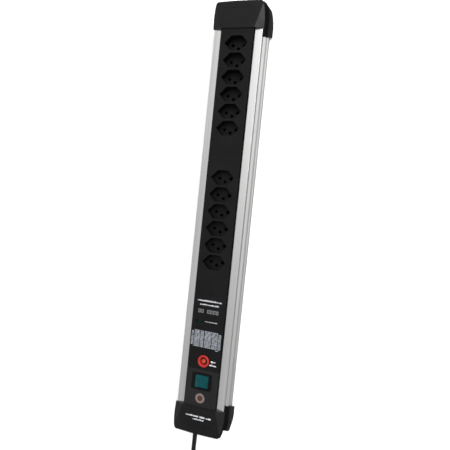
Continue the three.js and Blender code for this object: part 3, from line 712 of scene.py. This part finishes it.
def marks(name, bars, ink_name, height=PANEL_FACE, slot="white_moulding"):
    """Thin raised ink bars (x0, x1, y0, y1), each with clipped corners."""
    pairs = []
    for x0, x1, y0, y1 in bars:
        clip = min(x1 - x0, y1 - y0) * CLIPPED
        loop = [(x0 + clip, y0), (x1 - clip, y0), (x1, y0 + clip), (x1, y1 - clip),
                (x1 - clip, y1), (x0 + clip, y1), (x0, y1 - clip), (x0, y0 + clip)]
        pairs.append(([(x, y, height - INK_SUNK) for x, y in loop],
                      [(x, y, height + INK_RISE) for x, y in loop]))
    piece(name, *prisms(pairs), slot, finish=ink[ink_name])


def dashes(draw, x0, x1, y, high, shortest, longest, space):
    """A row of bars of uneven length and height, like a line of small print seen from afar."""
    row = []
    x = x0
    while x < x1 - shortest:
        end = min(x + draw.uniform(shortest, longest), x1)
        top = high * draw.choice((0.2, 0.2, 0.5))
        row.append((x, end, y - high / 2, y + top))
        x = end + space * draw.choice((1.0, 1.0, 1.0, 2.2))
    return row


def small_print(draw, top, rows):
    """Rows of dashes, each placed by its distance down from the top."""
    bars = []
    for x0, x1, down, high, shortest, longest, space in rows:
        bars += dashes(draw, x0, x1, top - down, high, shortest, longest, space)
    return bars


def frame_bars(x0, x1, y0, y1, line):
    """The four sides of a hollow rectangle."""
    return [(x0, x1, y0, y0 + line), (x0, x1, y1 - line, y1),
            (x0, x0 + line, y0 + line, y1 - line), (x1 - line, x1, y0 + line, y1 - line)]


# Rows of small print: left end, right end, distance down, height, shortest bar, longest bar, gap
PANEL_ROWS = [
    (-19.5, 19.5, 10.6, 2.6, 0.6, 1.3, 0.6),
    (-15.5, 15.5, 16.6, 2.3, 0.6, 1.2, 0.6),
    (-4.5, 15.4, 42.3, 1.2, 0.5, 1.0, 0.4),
    (11.8, 19.4, 101.9, 2.5, 0.7, 1.4, 0.4),
    (9.6, 20.8, 107.1, 2.5, 0.7, 1.4, 0.4),
]
CAP_ROWS = [
    (-20.0, 0.5, 14.0, 2.4, 0.8, 1.6, 0.5),
    (3.0, 11.0, 13.6, 3.6, 1.2, 2.0, 0.7),
    (13.5, 21.5, 14.0, 2.4, 0.8, 1.6, 0.5),
    (-8.0, 10.5, 18.5, 2.2, 0.8, 1.6, 0.5),
]
# Columns of the printed table: left end, right end, first row and last row
TABLE_COLUMNS = [
    (-24.5, -20.4, 1, 12),
    (-19.6, -10.6, 0, 13),
    (-9.6, -3.6, 0, 13),
    (-2.6, 8.8, 0, 13),
    (9.9, 19.4, 0, 13),
    (20.2, 24.6, 1, 13),
]
TABLE_ROWS = 14
CAP_FIELD = 0.35  # depth of the shallow field in the cap's front


def make_prints():
    draw = random.Random(4)
    surge_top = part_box("surge_panel")[1].y * TO_MM
    marks("panel_print", small_print(draw, surge_top, PANEL_ROWS), "white")

    figures = []
    for place in (0, 1, 3, 4, 5, 6):
        x = -17.0 + 4.9 * place
        figures += frame_bars(x, x + 3.4, surge_top - 29.6, surge_top - 24.2, 0.75)
    marks("rating_print", figures, "grey")

    cells = []
    top, pitch = surge_top - 57.4, 1.86
    for x0, x1, first, last in TABLE_COLUMNS:
        for row in range(first, last + 1):
            cells += dashes(draw, x0, x1, top - pitch * row, 1.1, 0.7, 1.8, 0.35)
    cells += dashes(draw, 17.5, 21.5, top - pitch * TABLE_ROWS - 0.4, 1.3, 0.7, 1.2, 0.4)
    marks("table_print", cells, "table")

    cap_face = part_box("cord_end_cap")[1].z * TO_MM
    title = small_print(draw, CAP_EDGE, CAP_ROWS)
    marks("cap_print", title, "white", height=cap_face - CAP_FIELD)


make_prints()


# ---------------------------------------------------------------- breaker, seal, rocker, shutters
BUTTON_FOOT = 40.0


def make_breaker():
    """The red collar round the overload button, and the button with its domed end."""
    x, y, _ = middle(*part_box("breaker_collar"))
    face = PANEL_FACE
    collar = [
        (7.25, face + 0.3), (9.0, face + 0.3), (9.25, face + 0.55), (9.3, face + 1.4),
        (9.15, face + 2.0), (8.7, face + 2.45), (8.1, face + 2.6), (7.1, face + 2.6),
        (6.6, face + 2.45), (6.3, face + 2.0), (5.5, face - 0.6), (5.2, face - 1.2),
        (5.2, face - 2.4), (6.9, face - 2.4), (6.9, face + 0.3),
    ]
    points, faces = turned(collar, (x, y, 0.0), sides=72)
    ring = piece("reset_ring", points, faces, "breaker_red", sharp=50.0)
    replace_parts(ring, "breaker_collar")
    dome = [
        (0.0, BUTTON_FOOT), (3.55, BUTTON_FOOT), (3.6, face + 0.4), (3.5, face + 0.9),
        (3.15, face + 1.5), (2.5, face + 2.0), (1.6, face + 2.3), (0.8, face + 2.38),
        (0.0, face + 2.4),
    ]
    points, faces = turned(dome, (x, y, 0.0), sides=48)
    button = piece("reset_button", points, faces, "breaker_orange", body="breaker_button",
                   sharp=50.0)
    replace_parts(button, "breaker_button")


def make_seal_print():
    """A red disc and a thin red ring on the round seal, with two dark bars on the disc."""
    low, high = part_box("inspection_seal")
    x, y, _ = middle(low, high)
    foot = high.z * TO_MM - 0.1
    top = high.z * TO_MM + 0.03
    for name, inner, outer in (("seal_centre", 0.0, 4.6), ("seal_ring", 6.6, 6.9)):
        loop = [(inner, foot), (outer, foot), (outer, top), (inner, top)]
        points, faces = turned(loop, (x, y, 0.0), sides=48)
        piece(name, points, faces, "seal_foil", finish=ink["red"])
    bars = [(x - 3.0, x + 3.0, y + 0.9, y + 1.6), (x - 3.4, x + 3.4, y - 1.6, y - 0.9)]
    marks("seal_bars", bars, "dark", height=top, slot="seal_foil")


ROCKER_HALF = 10.4  # half its width
ROCKER_PIVOT = 45.6
ROCKER_EDGE = 5.8  # height of its edges over the pivot, before it is tilted
ROCKER_DISH = 4.8  # four times the depth of its dished face
ROCKER_TILT = math.radians(7.0)  # at rest
ROCKER_BARS = [  # x0, x1, y0, y1 from the middle of the rocker
    (-6.2, -3.4, -0.5, 0.5),
    (-5.3, -4.3, -2.6, -1.2),
    (-5.3, -4.3, 1.2, 2.6),
]


def make_rocker_mark():
    """Three short dark bars on the rocker's left half, following its dished face."""
    x, y, _ = middle(*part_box("rocker_button"))
    mark_rise, mark_thick = 0.12, 0.25

    def face(u):
        across = (u + ROCKER_HALF) / (2 * ROCKER_HALF)
        dished = ROCKER_PIVOT + ROCKER_EDGE - ROCKER_DISH * across * (1 - across)
        return dished - u * math.tan(ROCKER_TILT) + mark_rise

    pairs = []
    for u0, u1, v0, v1 in ROCKER_BARS:
        loop = ((u0, v0), (u1, v0), (u1, v1), (u0, v1))
        pairs.append(tuple([(x + u, y + v, face(u) - drop) for u, v in loop]
                           for drop in (mark_thick, 0.0)))
    piece("rocker_mark", *prisms(pairs), "rocker_teal", body="rocker", finish=ink["dark"])


OUTLET_PITCH = 26.0
OUTLETS_IN_BLOCK = 6
FIRST_OUTLET = {  # from each block's lower end
    "socket_block_lower": 48.8,
    "socket_block_upper": 50.3,
}
PIN_HOLES = [(-9.5, 0.0), (9.5, 0.0), (0.0, -5.0)]  # from each outlet's middle
SHUTTER_R = 2.5
SHUTTER_LOW = PANEL_FACE - 15.25
SHUTTER_TOP = PANEL_FACE - 14.95


def make_shutters():
    """Dark shutters a little way down the outlets' holes, in front of the contacts, in flat black
    without gloss that paints the shade down the holes.
    """
    sides = 20
    turns = [2 * math.pi * i / sides for i in range(sides)]
    pairs = []
    for name, foot in FIRST_OUTLET.items():
        first_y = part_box(name)[0].y * TO_MM + foot
        for k in range(OUTLETS_IN_BLOCK):
            for dx, dy in PIN_HOLES:
                y = first_y + OUTLET_PITCH * k + dy
                ring = [(dx + SHUTTER_R * math.cos(a), y + SHUTTER_R * math.sin(a)) for a in turns]
                pairs.append(tuple([(*point, z) for point in ring]
                                   for z in (SHUTTER_LOW, SHUTTER_TOP)))
    piece("pin_shutters", *prisms(pairs), "black_moulding", finish=shutter_shade_finish)


make_breaker()
make_seal_print()
make_rocker_mark()
make_shutters()


# ---------------------------------------------------------------- studio
FLOOR_REACH = 6.0  # metres from the middle to each side
PAPER_DARK = (0.79, 0.79, 0.79, 1)
PAPER_LIGHT = (0.82, 0.82, 0.82, 1)
# Each soft box starts and is full at these parts of the sky's directions, along X and along Y;
# the second one also fades and ends. Its gain is its strength.
WIDE_BOX = {"across": (-0.42, -0.25), "along": (-0.35, 0.4), "gain": 1.4}
NARROW_BOX = {"across": (0.18, 0.3, 0.6, 0.8), "along": (0.05, 0.17, 0.5, 0.7), "gain": 11.0}


def make_floor():
    size = FLOOR_REACH
    mesh = bpy.data.meshes.new("floor")
    corners = [(-size, -size, 0), (size, -size, 0), (size, size, 0), (-size, size, 0)]
    mesh.from_pydata(corners, [], [(0, 1, 2, 3)])
    f = Finish("floor_paper")
    tone = f.mix(f.spread(f.noise(1.5, 3.0), 0.0, 1.0), PAPER_DARK, PAPER_LIGHT)
    mesh.materials.append(f.finish(Base_Color=tone, Roughness=0.9, Specular_IOR_Level=0.2))
    floor = bpy.data.objects.new("floor", mesh)
    scene.collection.objects.link(floor)


def make_world():
    """Soft white all round, dimmer overhead, with two soft boxes high up. The wide one leaves
    out the strip's left, and the narrow one stands to its right."""
    world = bpy.data.worlds.new("studio")
    scene.world = world
    world.use_nodes = True
    tree = world.node_tree
    direction = tree.nodes.new("ShaderNodeTexCoord").outputs["Generated"]
    split = tree.nodes.new("ShaderNodeSeparateXYZ")
    tree.links.new(direction, split.inputs[0])

    def graded(source, low, high, start, end):
        made = tree.nodes.new("ShaderNodeMapRange")
        made.interpolation_type = "SMOOTHSTEP"
        tree.links.new(source, made.inputs["Value"])
        limits = {"From Min": start, "From Max": end, "To Min": low, "To Max": high}
        for key, value in limits.items():
            made.inputs[key].default_value = value
        return made.outputs["Result"]

    def combined(a, b, operation):
        made = tree.nodes.new("ShaderNodeMath")
        made.operation = operation
        tree.links.new(a, made.inputs[0])
        tree.links.new(b, made.inputs[1])
        return made.outputs["Value"]

    def window(axis, start, full, fade=None, end=None):
        rise = graded(split.outputs[axis], 0.0, 1.0, start, full)
        if end is None:
            return rise
        fall = graded(split.outputs[axis], 1.0, 0.0, fade, end)
        return combined(rise, fall, "MULTIPLY")

    def soft_box(across, along, gain):
        shape = combined(window("X", *across), window("Y", *along), "MULTIPLY")
        bright = graded(split.outputs["Z"], 0.0, gain, 0.3, 0.6)
        return combined(shape, bright, "MULTIPLY")

    overhead = graded(split.outputs["Z"], 1.25, 0.68, 0.45, 0.85)
    boxes = combined(soft_box(**WIDE_BOX), soft_box(**NARROW_BOX), "ADD")
    strength = combined(overhead, boxes, "ADD")
    background = next(n for n in tree.nodes if n.type == "BACKGROUND")
    background.inputs["Color"].default_value = (1.0, 1.0, 0.995, 1.0)
    tree.links.new(strength, background.inputs["Strength"])


make_floor()
make_world()
scene.view_settings.view_transform = "Standard"
